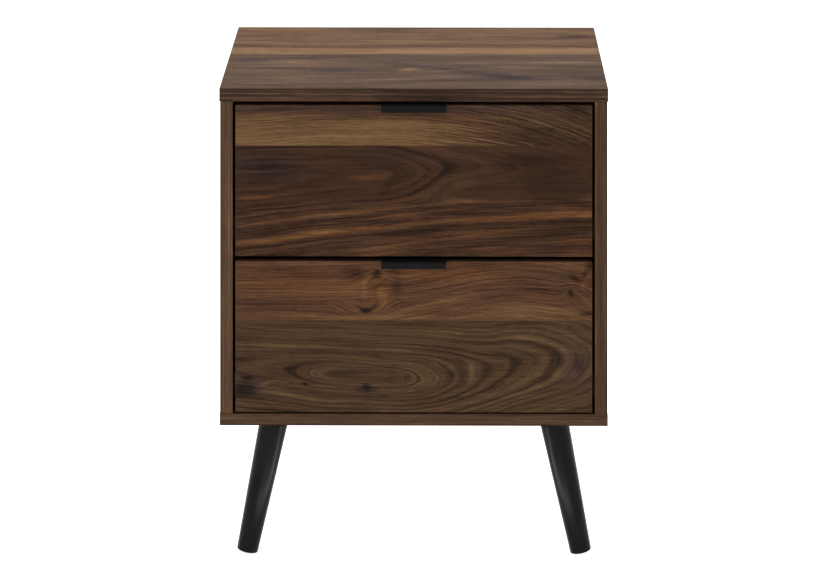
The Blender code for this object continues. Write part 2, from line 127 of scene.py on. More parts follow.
def make_lights():
    for name, settings in SOFTBOXES.items():
        softbox(name, *settings)
    # each strip makes the sheen on the inner side of one front leg
    x, y, z = GLOSS_PLACE
    for side, sign in (("left", -1), ("right", 1)):
        place, above = (sign * x, y, z), (sign * x, y, 1)
        strip = softbox(f"{side}_leg_gloss_light", place, above, GLOSS_SIZE, GLOSS_WATTS)
        strip.rotation_euler = (math.pi, 0, sign * GLOSS_TURN)
        strip.visible_diffuse = False
        strip.visible_camera = False
    world = bpy.data.worlds.new("studio")
    world.use_nodes = True
    background = world.node_tree.nodes["Background"]
    background.inputs["Color"].default_value = (1, 1, 1, 1)
    background.inputs["Strength"].default_value = WORLD_STRENGTH
    bpy.context.scene.world = world
    bpy.context.scene.view_settings.view_transform = "Standard"


def make_floor():
    """A round floor with a low wall along its rim, in one faintly glowing material."""
    paint = Paint("pale_floor", Roughness=0.9, Specular_IOR_Level=0.2, Emission_Color=(1, 1, 1, 1),
                  Emission_Strength=FLOOR_GLOW)
    x, y, _ = paint.place()
    tone = paint.noise(x * (1 / FLOOR_CLOUD), y * (1 / FLOOR_CLOUD)) * 0.5 + 0.5
    greys = [(position, (shade, shade, shade, 1)) for position, shade in enumerate(FLOOR_SHADES)]
    material = paint.finish(paint.ramp(tone, greys))
    mesh = bpy.data.meshes.new("floor")
    build = bmesh.new()
    bmesh.ops.create_circle(build, cap_ends=True, segments=FLOOR_SIDES, radius=FLOOR_RADIUS)
    wall = bmesh.ops.extrude_edge_only(build, edges=build.edges[:])["geom"]
    rim = [corner for corner in wall if isinstance(corner, bmesh.types.BMVert)]
    bmesh.ops.translate(build, verts=rim, vec=(0, 0, BACKDROP_HEIGHT))
    build.to_mesh(mesh)
    build.free()
    floor = link(bpy.data.objects.new("floor", mesh))
    floor.data.materials.append(material)


# ---------------------------------------------------------------- material nodes as arithmetic


class Signal:
    """A number that varies over a surface. It adds and multiplies like any other number."""

    def __init__(self, paint, socket):
        self.paint = paint
        self.socket = socket

    def __add__(self, other):
        return self.paint.math("ADD", self, other)

    def __sub__(self, other):
        return self.paint.math("SUBTRACT", self, other)

    def __rsub__(self, other):
        return self.paint.math("SUBTRACT", other, self)

    def __mul__(self, other):
        return self.paint.math("MULTIPLY", self, other)

    __radd__ = __add__
    __rmul__ = __mul__


class Paint:
    """One material and the nodes that draw its pattern."""

    def __init__(self, name, **constants):
        self.material = bpy.data.materials.new(name)
        self.material.use_nodes = True
        self.tree = self.material.node_tree
        self.shader = self.tree.nodes["Principled BSDF"]
        for socket, value in constants.items():
            self.shader.inputs[socket.replace("_", " ")].default_value = value
        self.coordinates = self.node("ShaderNodeTexCoord")

    def node(self, kind, **settings):
        made = self.tree.nodes.new(kind)
        for name, value in settings.items():
            setattr(made, name, value)
        return made

    def feed(self, socket, value):
        """Links a signal or a node's output to a socket, or sets the socket to a number."""
        if isinstance(value, Signal):
            value = value.socket
        if isinstance(value, bpy.types.NodeSocket):
            self.tree.links.new(value, socket)
        else:
            socket.default_value = value

    def math(self, operation, *values):
        made = self.node("ShaderNodeMath", operation=operation)
        for socket, value in zip(made.inputs, values):
            self.feed(socket, value)
        return Signal(self, made.outputs[0])

    def split(self, vector, scale=1.0):
        """The three parts of a vector, each times the scale."""
        made = self.node("ShaderNodeSeparateXYZ")
        self.feed(made.inputs[0], vector)
        parts = [Signal(self, socket) for socket in made.outputs]
        return parts if scale == 1.0 else [part * scale for part in parts]

    def place(self):
        """Where a point is on the object, in millimetres."""
        return self.split(self.coordinates.outputs["Object"], 1 / MM)

    def facing(self):
        """How far the surface faces along each axis, without sign."""
        return [self.math("ABSOLUTE", part) for part in self.split(self.coordinates.outputs["Normal"])]

    def vector(self, *parts):
        made = self.node("ShaderNodeCombineXYZ")
        for socket, value in zip(made.inputs, parts):
            self.feed(socket, value)
        return made.outputs[0]

    def noise(self, u, v, detail=2.0, rough=0.5, seed=0.0):
        """Smooth noise, from about -1 to 1, that changes over one unit of u and of v."""
        made = self.node("ShaderNodeTexNoise", noise_dimensions="3D")
        self.feed(made.inputs["Vector"], self.vector(u, v, seed))
        made.inputs["Scale"].default_value = 1.0
        made.inputs["Detail"].default_value = detail
        made.inputs["Roughness"].default_value = rough
        return self.math("MULTIPLY_ADD", Signal(self, made.outputs["Fac"]), 4.0, -2.0)

    def step(self, value, low, high, bottom=0.0, top=1.0, kind="SMOOTHSTEP"):
        """From bottom to top as the value goes from low to high: smoothly, or in a straight line."""
        made = self.node("ShaderNodeMapRange", interpolation_type=kind)
        for name, number in (("Value", value), ("From Min", low), ("From Max", high),
                             ("To Min", bottom), ("To Max", top)):
            self.feed(made.inputs[name], number)
        return Signal(self, made.outputs[0])

    def curve(self, value, points):
        """A smooth curve through the given points, which are (value, height) in rising order."""
        low, high = points[0][0], points[-1][0]
        peak = max(height for _, height in points)
        made = self.node("ShaderNodeFloatCurve")
        line = made.mapping.curves[0]
        while len(line.points) < len(points):
            line.points.new(0.5, 0.5)
        for point, (where, height) in zip(line.points, points):
            point.location = ((where - low) / (high - low), height / peak)
        made.mapping.update()
        self.feed(made.inputs["Value"], self.step(value, low, high, kind="LINEAR"))
        return Signal(self, made.outputs[0]) * peak

    def spot(self, u, v, centre, size, lean=0.0):
        """1 at the centre of an oval, 0 outside it. Lean turns it, in degrees."""
        mapping = self.node("ShaderNodeMapping", vector_type="TEXTURE")
        self.feed(mapping.inputs["Vector"], self.vector(u, v, 0.0))
        mapping.inputs["Location"].default_value = (*centre, 0)
        mapping.inputs["Rotation"].default_value = (0, 0, math.radians(lean))
        mapping.inputs["Scale"].default_value = (*size, 1)
        ball = self.node("ShaderNodeTexGradient", gradient_type="SPHERICAL")
        self.feed(ball.inputs[0], mapping.outputs[0])
        return self.step(Signal(self, ball.outputs["Fac"]), 0, 1)

    def ramp(self, value, stops):
        """The colour at a value, between stops of (position, colour)."""
        made = self.node("ShaderNodeValToRGB")
        elements = made.color_ramp.elements
        while len(elements) < len(stops):
            elements.new(0.5)
        for element, (position, colour) in zip(elements, stops):
            element.position = position
            element.color = colour
        self.feed(made.inputs[0], value)
        return made.outputs[0]

    def mix(self, factor, first, second):
        made = self.node("ShaderNodeMix", data_type="RGBA")
        self.feed(made.inputs[0], factor)
        self.feed(made.inputs[6], first)
        self.feed(made.inputs[7], second)
        return made.outputs[2]

    def finish(self, colour, roughness=None, height=None, depth=0.1 * MM, strength=0.5):
        """Links the pattern to the shader: its colour, roughness and height in units of depth."""
        self.feed(self.shader.inputs["Base Color"], colour)
        if roughness is not None:
            self.feed(self.shader.inputs["Roughness"], roughness)
        if height is not None:
            bump = self.node("ShaderNodeBump")
            bump.inputs["Strength"].default_value = strength
            bump.inputs["Distance"].default_value = depth
            self.feed(bump.inputs["Height"], height)
            self.feed(self.shader.inputs["Normal"], bump.outputs[0])
        return self.material


# ---------------------------------------------------------------- walnut

# Sizes and places in this part are in millimetres. Tones run from 0, dark, to 1, light. In a
# pattern, u runs along the grain and v across it, both from a corner of the board.

FRONT_GAIN = 0.72               # from the colour that a lit face shows to the laminate's own colour
# painted light: the top's laminate is made about twice as light as the fronts', standing in for the overhead
# light that falls on it
TOP_PAINTED_LIGHT_GAIN = 1.4
LAMINATE_LEVEL = 0.035          # a low gloss, because the floor's reflection would turn the grain hazy
PAINTED_CORNER_SHADE = 0.2               # painted shade: how much darker an edge band is painted along the board's outer corner
BAND_SMOKE = 0.35               # how smoky the edge bands are

# from dark to light: the fronts and the top, their yellower planks, the other boards, and the
# smoky and the orange parts
WALNUT = [(0.0, (36, 22, 14)), (0.25, (60, 39, 27)), (0.5, (84, 57, 38)),
          (0.75, (105, 77, 50)), (1.0, (128, 98, 66))]
OLIVE = [(0.0, (33, 22, 14)), (0.25, (56, 39, 26)), (0.5, (81, 60, 40)),
         (0.75, (106, 82, 54)), (1.0, (130, 104, 70))]
PLAIN = [(0.0, (35, 22, 14)), (0.25, (58, 39, 27)), (0.5, (82, 59, 39)),
         (0.75, (105, 80, 52)), (1.0, (129, 101, 68))]
SMOKE = [(0.0, (32, 23, 21)), (0.5, (76, 57, 49)), (1.0, (120, 100, 88))]
EMBER = [(0.0, (46, 26, 14)), (0.5, (98, 62, 35)), (1.0, (152, 104, 62))]


def stops(colours, gain):
    return [(position, linear(*colour, gain)) for position, colour in colours]


def cathedral(paint, u, v, axis, opening, pointed=2.0):
    """Growth rings cut by the face: nested arcs about an axis that runs along the board.

    axis and opening are curves along u: where the arcs' middle is, and how far apart the rings
    are cut. pointed is 2 for round arcs, and less for arcs that come to a point.
    """
    across = paint.math("ABSOLUTE", v - paint.curve(u, axis))
    deep = paint.curve(u, opening)
    total = paint.math("POWER", across, pointed) + paint.math("POWER", deep, pointed)
    return paint.math("POWER", total, 1 / pointed)


def warp(paint, u, v, amount, seed):
    """A slow wander of the grain, plus a finer one."""
    slow = paint.noise(u * (1 / 95), v * (1 / 26), detail=1.0, seed=seed)
    fine = paint.noise(u * (1 / 26), v * (1 / 7), detail=1.0, seed=seed + 5)
    return slow * (amount * 0.6) + fine * (amount * 0.13)


def figure(paint, u, v, rings, tone, seed, contrast=1.0, fineness=1.0):
    """The tone of a plank: bands and lines that follow the rings, then streaks, fibres and clouds.

    tone and contrast are numbers or signals. A higher fineness makes everything across the grain finer.
    """
    broad = paint.noise(rings * (fineness / 11), u * (1 / 260), detail=1.0, seed=seed)
    thin = paint.noise(rings * (fineness / 3.4), u * (1 / 150), detail=2.0, rough=0.65, seed=seed + 11)
    streak = paint.noise(u * (1 / 110), v * (fineness / 2.6), detail=2.0, rough=0.65, seed=seed + 19)
    fibre = paint.noise(u * (1 / 12), v * (fineness / 0.9), detail=2.0, rough=0.7, seed=seed + 23)
    cloud = paint.noise(u * (1 / 70), v * (1 / 20), detail=2.0, seed=seed + 31)
    pattern = broad * 0.12 + thin * 0.15 + streak * 0.10 + fibre * 0.12 + cloud * 0.06
    return tone + pattern * contrast


def lined(paint, tone, rings, lines, strength=None):
    """Darkens the tone along single rings. Each line is a ring's (radius, width, depth)."""
    for radius, width, depth in lines:
        line = paint.step(paint.math("ABSOLUTE", rings - radius), width, 0, 0, depth)
        tone = tone - (line if strength is None else line * strength)
    return tone


def dashes(paint, rings, u, spacing, length, seed):
    """Thin dark lines along the rings, broken into dashes: 1 on a dash, 0 beside it."""
    drift = paint.noise(u * (1 / 120), rings * 0.02, seed=seed) * spacing
    row = paint.math("PINGPONG", rings + drift, spacing / 2)
    gap = paint.noise(u * (1 / length), rings * (1 / spacing), detail=2.0, seed=seed + 3)
    return paint.step(row, spacing * 0.24, 0) * paint.step(gap, -0.1, 0.25)


def pores(paint, u, v, seed):
    """Short dark dashes along the grain, 0 or 1."""
    speck = paint.noise(u * (1 / 3.5), v * (1 / 0.28), detail=1.0, seed=seed + 41)
    patch = paint.noise(u * (1 / 50), v * (1 / 9), detail=1.0, seed=seed + 47)
    return paint.step(speck + patch * 0.25, 0.38, 0.55)


def marked(paint, u, v, marks, value=0.0):
    """Adds soft ovals to a value: each is (centre, size, lean, amount)."""
    for centre, size, lean, amount in marks:
        value = paint.spot(u, v, centre, size, lean) * amount + value
    return value


def tint(paint, tone, smoke, ember, gain, olive, base):
    """The colour for a tone: the base ramp, with as much olive, smoke and ember as they say."""
    colour = paint.ramp(tone, stops(base, gain))
    if olive is not None:
        colour = paint.mix(olive, colour, paint.ramp(tone, stops(OLIVE, gain)))
    colour = paint.mix(smoke, colour, paint.ramp(tone, stops(SMOKE, gain)))
    return paint.mix(ember, colour, paint.ramp(tone, stops(EMBER, gain)))


def laminate(paint, tone, smoke, ember, holes, gain, olive=None, base=WALNUT):
    """Finishes a walnut laminate from its tone, its smoky and orange parts and its pores."""
    tone = tone - holes * 0.12
    colour = tint(paint, tone, smoke, ember, gain, olive, base)
    roughness = paint.math("MULTIPLY_ADD", holes, 0.12, 0.42)
    return paint.finish(colour, roughness, holes * -1.0, depth=0.05 * MM, strength=0.4)


def edge_tone(paint, along, across, seed, tone):
    """The edge band: fine streaks along the edge."""
    streak = paint.noise(along * (1 / 260), across * (1 / 2.8), detail=1.0, rough=0.6, seed=seed)
    fibre = paint.noise(along * (1 / 30), across * (1 / 1.4), detail=2.0, rough=0.7, seed=seed + 2)
    cloud = paint.noise(along * (1 / 60), across * (1 / 9), detail=1.0, seed=seed + 3)
    return tone + streak * 0.20 + fibre * 0.15 + cloud * 0.07


def banded(paint, faces, thickness, seed, edge, outside=None):
    """Puts an edge band round a board: wherever the surface doesn't face along its thickness.

    faces holds the tone, smoke, ember and pores of the board's faces, and comes back with the band.
    edge is the band's tone. outside is where along the thickness the board's outer face is, and the band gets
    a painted shade along that corner.
    """
    place, facing = paint.place(), paint.facing()
    along = [place[axis] for axis in (X, Y, Z) if axis != thickness]
    band = edge_tone(paint, along[0] + along[1], place[thickness], seed, edge)
    if outside is not None:
        # painted shade along the band's outer corner
        band = band - paint.step(paint.math("ABSOLUTE", place[thickness] - outside), 2.4, 0.8) * PAINTED_CORNER_SHADE
    face = paint.step(facing[thickness], 0.6, 0.8)
    tone, smoke, *others = faces
    smoke = (smoke - BAND_SMOKE) * face + BAND_SMOKE
    return [band + face * (tone - band), smoke] + [face * other for other in others]


def capped(paint, value):
    """The value, but no more than 1."""
    return paint.math("MINIMUM", value, 1.0)


def upper_front_material():
    paint = Paint("walnut_upper_front", Specular_IOR_Level=LAMINATE_LEVEL)
    low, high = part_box("upper_drawer_front")
    x, _, z = paint.place()
    u, v = x - low.x / MM, high.z / MM - z
    wander = warp(paint, u, v, 2.4, 1)

    # the plank above the joint: lines that bend down towards the right
    bend = paint.math("MAXIMUM", u + v * 0.5 - 190, 0)
    rings = v - bend * bend * 0.00072 - paint.step(u, 110, 0, 0, 7) + wander * 0.6
    hair = paint.noise(rings * (1 / 1.6), u * (1 / 150), detail=1.0, seed=12)
    golden = paint.step(v + wander * 1.5 + hair * 2.5, 3, 24)
    golden = golden * paint.step(u + wander * 6 + v * 0.4, 385, 205)
    right = paint.step(u + v * 0.6 + wander * 4, 205, 300)
    tone = figure(paint, u, v, rings, golden * 0.38 + 0.355, 2, right * 0.3 + 0.65)
    tone = tone + hair * (right * 0.08 + 0.10) - right * 0.06
    tone = tone - dashes(paint, rings, u, 3.1, 22, 7) * (right * 0.10 + 0.22)
    tone = tone + dashes(paint, rings + 1.6, u, 5.6, 90, 8) * right * 0.24
    tone = tone + marked(paint, u, v, [((50, 5), (40, 4), 0, -0.16), ((400, 6), (30, 8), 0, -0.12)])

    # the plank below it: a leaf that points right, with streaks that rise to the right under it
    leaf = cathedral(paint, u, v,
                     [(0, 88), (60, 84), (116, 81), (165, 79), (219, 76), (248, 71), (300, 72), (414, 80)],
                     [(0, 8), (60, 11), (116, 15), (165, 17), (195, 22.5), (219, 30.5), (235, 35.7),
                      (248, 40), (300, 46), (414, 56)], 1.45) + wander * 1.2
    slope = paint.curve(u, [(0, 0), (60, 8), (134, 16), (215, 24), (298, 31), (360, 34), (414, 36)])
    rise = v + wander + slope
    under = paint.step((v + rise) * 0.5, 114, 128)
    grain = leaf + under * (rise - 86 - leaf)
    calm = paint.step(u + v * 0.2, 262, 286) * (1 - under)
    below = figure(paint, u, v, grain, under * 0.045 + 0.25, 3, under * 0.5 + 0.8 - calm * 0.1)
    below = lined(paint, below, grain, [(40, 2.8, 0.25), (27, 2.6, 0.13), (33, 1.4, 0.08)], 1 - calm)
    below = lined(paint, below, grain, [(47, 1.6, 0.16), (82.5, 2.4, 0.22), (62, 1.2, 0.12), (69, 1.0, 0.10),
                                        (54, 2.2, -0.16)], under)
    below = below - dashes(paint, grain, u, 3.5, 50, 10) * (under * 0.12 + 0.04)
    below = below + marked(paint, u, v + wander, [
        ((40, 72), (60, 20), 0, -0.13), ((178, 93), (28, 9), -42, -0.12), ((160, 82), (46, 12), 0, 0.07),
        ((245, 74), (20, 12), 0, -0.10), ((329, 65), (52, 15), 0, -0.13), ((350, 84), (80, 28), 0, -0.06),
        ((330, 52), (110, 6), 0, 0.06), ((265, 92), (26, 10), -14, 0.08)])
    joint = paint.step(v, 46.4, 47.0)
    tone = tone + joint * (below - tone)
    smoke = marked(paint, u, v + wander, [((40, 70), (70, 24), 0, 0.9), ((200, 60), (90, 16), 0, 0.35)])
    smoke = smoke * joint + paint.step(v + wander, 14, 2, 0, 0.6)
    streaks = paint.step(paint.noise(grain * (1 / 5.5), u * (1 / 110), detail=1.0, seed=9), 0.2, 0.7)
    band = paint.step(paint.math("ABSOLUTE", grain - 75.5), 4.6, 1.0) * paint.step(v, 100, 115)
    band = band * (paint.step(u, 225, 330) + paint.step(u, 190, 100) * 0.6) * 0.9
    ember = joint * marked(paint, u, v + wander, [((20, 106), (34, 4), 0, 0.7), ((150, 84), (50, 9), 0, 0.3)],
                           band + streaks * under * 0.45)
    ember = capped(paint, ember)
    faces = (tone + ember * 0.22, capped(paint, smoke), ember, pores(paint, u, v, 4))
    faces = banded(paint, faces, Y, seed=5, edge=0.36)
    return laminate(paint, *faces, FRONT_GAIN, olive=(1 - joint) * 0.5)


def lower_front_material():
    paint = Paint("walnut_lower_front", Specular_IOR_Level=LAMINATE_LEVEL)
    low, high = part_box("lower_drawer_front")
    x, _, z = paint.place()
    u, v = x - low.x / MM, high.z / MM - z
    wander = warp(paint, u, v, 2.0, 61)

    # the plank above the joint: two knots, streaks that close on them, low humps to the right
    humps = marked(paint, u, v, [((323, 30), (180, 500), 0, 24), ((163, 17), (34, 18), 0, 11),
                                 ((151, 58), (46, 18), 0, -11), ((392, 36), (24, 24), 0, 10)])
    rings = v + humps + wander
    hair = paint.noise(rings * (1 / 1.5), u * (1 / 110), detail=1.0, seed=71)
    tone = figure(paint, u, v, rings, 0.50, 62, 1.05)
    tone = lined(paint, tone, rings, [(18, 1.2, 0.10), (26, 1.0, 0.07), (33, 1.4, 0.13), (43, 1.2, 0.12),
                                      (50, 1.3, 0.14), (58, 1.0, 0.08)])
    tone = tone + hair * 0.07 - dashes(paint, rings, u, 3.6, 30, 63) * 0.17
    loose = v + wander * 1.2 + hair * 1.5
    tone = tone + marked(paint, u + hair * 1.5, loose, [
        ((138, 14), (26, 13), 6, -0.30), ((164, 16), (10, 6), -10, -0.55), ((164, 12), (5, 2.5), 0, -0.5),
        ((151, 56), (9, 4.5), 0, -0.9), ((144, 53), (9, 3), 24, -0.35), ((159, 54), (9, 3), -24, -0.35),
        ((150, 36), (6, 22), 8, 0.14), ((171, 42), (10, 20), -6, 0.16), ((163, 34), (4, 10), 10, -0.12),
        ((187, 30), (10, 16), 0, -0.20), ((345, 57), (120, 15), 0, 0.20), ((150, 64), (220, 5), 0, 0.20),
        ((290, 33), (44, 2.2), -4, -0.28), ((345, 33), (46, 2.4), 3, -0.36),
        ((300, 40), (60, 1.8), -3, -0.16), ((392, 18), (12, 5), 24, -0.40),
        ((404, 14), (10, 4), -30, -0.30), ((388, 36), (6, 5), 0, -0.45),
        ((408, 60), (14, 3.4), 0, -0.5), ((411, 5), (10, 10), 0, -0.4), ((402, 29), (5, 8), 0, 0.22),
        ((185, 12), (14, 6), 0, -0.25), ((178, 38), (55, 34), 0, -0.10), ((300, 22), (90, 24), 0, 0.05),
        ((402, 30), (24, 40), 0, -0.06), ((60, 12), (120, 12), 0, -0.08), ((70, 45), (90, 10), 0, -0.06),
        ((55, 34), (110, 40), 0, -0.03)])

    # the plank below it: long arcs that open to the left, with a narrow loop in their middle
    loop = cathedral(paint, u, v,
                     [(0, 122), (60, 127), (130, 131), (209, 134), (285, 129), (322, 120), (374, 114),
                      (414, 112)],
                     [(0, 17), (40, 15), (62, 12.5), (90, 6), (130, 1), (175, 4), (209, 12), (245, 22),
                      (285, 33), (322, 39), (348, 43), (374, 48), (414, 58)], 2.1) + wander * 1.1
    fine = paint.noise(loop * (1 / 1.5), u * (1 / 130), detail=1.0, seed=72)
    faint = paint.step(v, 106, 84) * paint.step(u, 345, 240)
    below = figure(paint, u, v, loop, 0.40, 64, 0.95 - faint * 0.3) + fine * 0.06
    below = lined(paint, below, loop, [
        (12.5, 1.4, 0.28), (18, 0.9, 0.10), (24, 1.0, 0.12), (28, 1.2, 0.14), (34.5, 1.2, 0.18),
        (39, 1.3, 0.17), (48, 1.7, 0.24), (53, 1.3, 0.14), (57, 1.0, 0.12), (61, 1.4, 0.12),
        (66, 1.0, 0.12), (31, 2.0, -0.12), (44, 1.8, -0.11)], 1 - faint * 0.65)
    below = below - dashes(paint, loop, u, 3.8, 34, 67) * 0.13
    below = below + marked(paint, u + fine * 1.5, v + wander + fine, [
        ((155, 131), (36, 6), 0, 0.18), ((152, 148), (20, 6), 0, -0.42), ((152, 144), (8, 5), 0, -0.45),
        ((81, 143), (6, 3), 12, -0.5), ((10, 149), (26, 11), 0, -0.55), ((14, 136), (12, 5), 0, -0.42),
        ((36, 142), (22, 4), -16, 0.22), ((272, 130), (9, 18), 10, 0.16), ((250, 131), (8, 9), 0, -0.10),
        ((200, 82), (300, 13), 0, 0.08), ((320, 116), (6, 8), 0, -0.20), ((340, 126), (6, 14), 14, 0.16),
        ((370, 128), (7, 14), 10, 0.10), ((397, 120), (10, 22), 0, -0.14), ((303, 121), (16, 6), 0, -0.10),
        ((325, 74), (60, 5), 0, -0.12)])
    joint = paint.step(v, 68.4, 69.0)
    tone = tone + joint * (below - tone)
    smoke = joint * marked(paint, u, v + wander, [
        ((14, 146), (32, 16), 0, 1.0), ((152, 148), (30, 9), 0, 0.8), ((395, 120), (34, 44), 0, 0.6),
        ((320, 116), (12, 12), 0, 0.5)])
    ember = (1 - joint) * marked(paint, u, v + wander, [
        ((80, 26), (150, 28), 0, 0.55), ((240, 14), (110, 16), 0, 0.7), ((166, 36), (24, 30), 0, 0.6),
        ((402, 20), (16, 20), 0, 0.5)])
    faces = (tone, capped(paint, smoke), capped(paint, ember), pores(paint, u, v, 66))
    faces = banded(paint, faces, Y, seed=65, edge=0.36)
    return laminate(paint, *faces, FRONT_GAIN, olive=joint * 0.85)


def top_material():
    paint = Paint("walnut_top", Specular_IOR_Level=LAMINATE_LEVEL)
    low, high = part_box("top_panel")
    x, y, _ = paint.place()
    u, v = x - low.x / MM, y - low.y / MM
    wander = warp(paint, u, v, 4.0, 81)

    # the plank in front of the joint: broad, smoky patches
    humps = marked(paint, u, v, [((120, 60), (260, 90), 14, 26), ((330, 120), (200, 70), -10, -18)])
    rings = v + humps + wander
    tone = figure(paint, u, v, rings, 0.51, 82, 1.15, fineness=0.32)
    tone = tone + marked(paint, u, v + wander, [
        ((33, 175), (40, 16), 0, -0.22), ((60, 120), (60, 14), 0, -0.08),
        ((132, 112), (50, 30), 14, -0.22), ((218, 118), (18, 13), 0, 0.34),
        ((205, 150), (50, 18), -30, -0.16), ((255, 125), (60, 16), -34, -0.20),
        ((320, 84), (90, 26), -30, -0.28), ((290, 140), (60, 16), -20, -0.12),
        ((350, 60), (60, 20), -20, -0.20), ((440, 60), (26, 28), 0, -0.28),
        ((60, 50), (110, 50), 0, 0.08), ((200, 60), (70, 24), 10, 0.08),
        ((400, 160), (80, 34), 0, 0.06), ((410, 100), (80, 70), 0, -0.15), ((90, 120), (120, 90), 0, 0.04)])

    # the plank behind it: straight streaks, golden next to the joint
    behind = figure(paint, u, v, v + wander * 1.4, 0.67, 84, 1.5, fineness=0.35)
    gold = paint.step(v + wander, 268, 250)
    behind = behind + gold * 0.22 + marked(paint, u, v + wander, [
        ((425, 335), (40, 16), 0, -0.45), ((30, 268), (50, 8), 0, -0.26), ((300, 330), (160, 8), 0, -0.12),
        ((110, 300), (130, 8), 0, -0.16), ((60, 350), (90, 12), 0, -0.14), ((330, 290), (120, 9), 0, 0.10)])
    joint = paint.step(v, 211.6, 212.6)
    tone = tone + joint * (behind - tone)
    tone = tone - paint.step(paint.math("ABSOLUTE", v - 211.4), 1.4, 0.6, 0, 0.24)
    smoke = (1 - joint) * marked(paint, u, v + wander, [
        ((33, 175), (50, 20), 0, 0.5), ((132, 112), (60, 34), 14, 0.7), ((240, 135), (100, 30), -34, 0.6),
        ((320, 80), (100, 44), -24, 0.8), ((440, 58), (40, 30), 0, 0.7)], 0.45) + joint * 0.12
    ember = marked(paint, u, v + wander, [((218, 118), (22, 14), 0, 0.8), ((300, 232), (200, 10), 0, 0.4)])
    faces = (tone, capped(paint, smoke), ember, pores(paint, u, v, 86))
    faces = banded(paint, faces, Z, seed=85, edge=0.115, outside=high.z / MM)
    # the larger gain paints the overhead light into the top's colour
    return laminate(paint, *faces, TOP_PAINTED_LIGHT_GAIN, olive=(1 - joint) * 0.8)


def plank(paint, u, v, middle, tone, seed):
    """A plank whose arcs are cut so flat that they are long, nearly straight streaks."""
    wander = warp(paint, u, v, 2.4, seed)
    centre = paint.noise(u * (1 / 420), 0.0, detail=0.0, seed=seed + 2) * 12 + middle
    opening = paint.noise(u * (1 / 240), 0.0, detail=0.0, seed=seed + 4) * 14 + 20
    offset = v - centre
    arcs = paint.math("SQRT", offset * offset + opening * opening) + wander
    return figure(paint, u, v, arcs, tone, seed) - dashes(paint, arcs, u, 4.4, 40, seed + 7) * 0.10


def plain_walnut(name, grain, across, thickness, seed, tone, edge=None, joint=None, outside=None):
    """A board of the same laminate, in one plank or in two with a joint between them.

    grain, across and thickness are its axes. joint is where the two planks meet. A board without an
    edge tone has no edge bands. outside is as in banded.
    """
    paint = Paint(name, Specular_IOR_Level=LAMINATE_LEVEL)
    place = paint.place()
    u, v = place[grain] + seed * 37, place[across]
    body = plank(paint, u, v, 0 if joint is None else joint - 95, tone, seed)
    if joint is not None:
        beyond = plank(paint, u + 500, v, joint + 80, tone + 0.10, seed + 13)
        body = body + paint.step(v, joint - 0.3, joint + 0.3) * (beyond - body)
    smoke = paint.step(paint.noise(u * (1 / 160), v * (1 / 40), seed=seed + 6), 0.1, 0.6, 0.05, 0.6)
    ember = paint.step(paint.noise(u * (1 / 200), v * (1 / 16), seed=seed + 8), 0.2, 0.7, 0.0, 0.5)
    faces = (body, smoke, ember, pores(paint, u, v, seed + 10))
    if edge is not None:
        faces = banded(paint, faces, thickness, seed + 9, edge, outside)
    return laminate(paint, *faces, FRONT_GAIN, base=PLAIN)


# ---------------------------------------------------------------- other materials

NAIL_RADIUS = 1.7               # these three in millimetres
NAIL_SPACING = 66
NAIL_INSET = 4
NAIL_COLOUR = (168, 168, 166)


def nail_heads(paint, x, z, box):
    """1 on the heads of the nails along the edges of the back panel, 0 beside them."""
    low, high = box[0] / MM, box[1] / MM
    aside = paint.math("ABSOLUTE", x - (low.x + high.x) / 2)
    upward = paint.math("ABSOLUTE", z - (low.z + high.z) / 2)
    from_side = aside - ((high.x - low.x) / 2 - NAIL_INSET)
    from_end = upward - ((high.z - low.z) / 2 - NAIL_INSET)
    heads = []
    for run, off in ((aside, from_end), (upward, from_side)):
        along = paint.math("PINGPONG", run + NAIL_SPACING / 2, NAIL_SPACING / 2)
        distance = paint.math("SQRT", along * along + off * off)
        heads.append(paint.step(distance, NAIL_RADIUS + 0.15, NAIL_RADIUS - 0.15))
    return paint.math("MAXIMUM", *heads)


def hardboard_material(name, dark, light, seed, nailed):
    """Pressed wood fibre: short fibres in every direction, with nails along the edges."""
    paint = Paint(name)
    x, y, z = paint.place()
    u, v = x, y + z
    felt = paint.noise(u * (1 / 1.3), v * (1 / 1.3), detail=4.0, rough=0.7, seed=seed)
    turned = paint.noise((u + v) * (1 / 5.2), (u - v) * (1 / 0.7), detail=3.0, seed=seed + 1)
    crossed = paint.noise((u - v) * (1 / 5.2), (u + v) * (1 / 0.7), detail=3.0, seed=seed + 3)
    cloud = paint.noise(u * (1 / 90), v * (1 / 60), detail=3.0, rough=0.6, seed=seed + 2)
    tone = felt * 0.24 + turned * 0.16 + crossed * 0.16 + cloud * 0.12 + 0.5
    heads = nail_heads(paint, x, z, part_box(nailed))
    felt_colour = paint.ramp(tone, [(0, linear(*dark)), (1, linear(*light))])
    colour = paint.mix(heads, felt_colour, linear(*NAIL_COLOUR))
    paint.feed(paint.shader.inputs["Metallic"], heads)
    return paint.finish(colour, heads * -0.35 + 0.75, felt - heads * 2, 0.1 * MM, 0.4)


def painted_material(name, dark, light, roughness, grain, speck, depth, metallic=0.0, level=0.5):
    """A coat that is slightly uneven in tone, gloss and height.

    speck is the size of its specks in millimetres, and grain how many times longer they are along z.
    depth is their height in metres, and level the amount of gloss.
    """
    paint = Paint(name, Metallic=metallic, Specular_IOR_Level=level)
    x, y, z = paint.place()
    made = paint.node("ShaderNodeTexNoise", noise_dimensions="3D")
    specks = paint.vector(x * (1 / speck), y * (1 / speck), z * (1 / (speck * grain)))
    paint.feed(made.inputs["Vector"], specks)
    made.inputs["Scale"].default_value = 1.0
    made.inputs["Detail"].default_value = 3.0
    fine = Signal(paint, made.outputs["Fac"])
    cloud = paint.noise(x * (1 / 30) + z * (1 / 47), y * (1 / 30), detail=2.0)
    tone = fine * 0.7 + cloud * 0.3
    colour = paint.ramp(tone, [(0.1, linear(*dark)), (0.8, linear(*light))])
    return paint.finish(colour, fine * 0.12 + (roughness - 0.06), fine, depth, 0.5)


# ---------------------------------------------------------------- screw heads

